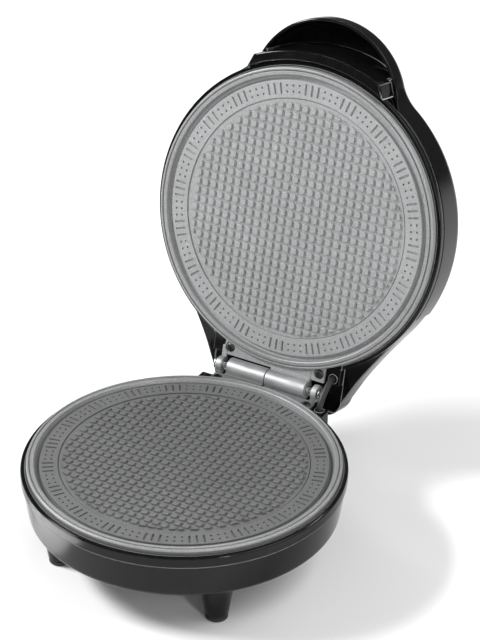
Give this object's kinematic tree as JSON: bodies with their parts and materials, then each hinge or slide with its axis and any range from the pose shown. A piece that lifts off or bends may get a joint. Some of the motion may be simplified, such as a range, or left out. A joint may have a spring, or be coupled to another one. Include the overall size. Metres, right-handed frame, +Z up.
{
  "type": "waffle cone maker",
  "caption": "Round waffle cone maker, lid open: two cast baking plates on a rear hinge, glossy shells, hood handle, conical legs.",
  "frame": {"origin": "on the table, under the middle of the machine's width and of its length with the lid open", "axes": "+Z up, -Y towards the user and the handle's side of the base, +Y towards the hinge and the open lid, +X to the user's right"},
  "size_m": [0.2034, 0.303, 0.2886],
  "materials": {
    "gloss_black_moulding": "high gloss moulded black",
    "rubber_feet": "matt black",
    "rubber_gland": "matt black",
    "lower_plate_coating": "blasted die-cast with grey non-stick coating",
    "upper_plate_coating": "blasted die-cast with grey non-stick coating",
    "element_sheath": "heat-tinted sheath",
    "shield_sheet": "plain sheet",
    "pin_steel": "plated",
    "screw_steel": "darkened steel",
    "bottom_cover_coating": "matt black on sheet steel",
    "terminal_ceramic": "unglazed white",
    "fuse_sleeve": "woven glass sleeve",
    "thermostat_body": "dark heat-resistant",
    "lamp_board": "green circuit board",
    "red_lens": "clear red",
    "green_lens": "clear green",
    "lead_sheath": "black silicone sheath"
  },
  "bodies": {
    "base": {"base_shell": "gloss_black_moulding", "base_collar_ring": "gloss_black_moulding", "base_bottom_cover": "bottom_cover_coating", "foot_front_left": "rubber_feet", "foot_front_right": "rubber_feet", "foot_rear_left": "rubber_feet", "foot_rear_right": "rubber_feet", "lower_plate": "lower_plate_coating", "lower_heating_element": "element_sheath", "lower_heat_shield": "shield_sheet", "lower_shield_screw": "screw_steel", "lower_plate_screw_left": "screw_steel", "lower_plate_screw_right": "screw_steel", "hinge_pin": "pin_steel", "hinge_pin_clip": "pin_steel", "cord_gland": "rubber_gland", "terminal_block": "terminal_ceramic", "thermostat": "thermostat_body", "thermal_fuse": "fuse_sleeve", "bottom_cover_screw_front": "screw_steel", "bottom_cover_screw_rear": "screw_steel", "bottom_cover_screw_left": "screw_steel", "bottom_cover_screw_right": "screw_steel", "link_lead": "lead_sheath"},
    "lid": {"lid_inner_shell": "gloss_black_moulding", "lid_outer_cover": "gloss_black_moulding", "handle_inner_grip": "gloss_black_moulding", "upper_plate": "upper_plate_coating", "upper_heating_element": "element_sheath", "upper_heat_shield": "shield_sheet", "upper_shield_screw": "screw_steel", "upper_plate_screw_left": "screw_steel", "upper_plate_screw_right": "screw_steel", "lid_cover_screw_left": "screw_steel", "lid_cover_screw_right": "screw_steel", "lamp_board": "lamp_board", "power_lens": "red_lens", "ready_lens": "green_lens"}
  },
  "joints": [
    {"name": "lid_hinge", "type": "hinge", "parent": "base", "child": "lid", "pos_m": [0, 0.05685, 0.0634], "axis": [1, 0, 0], "range_deg": [0, 104], "deforming": ["link_lead"]}
  ]
}
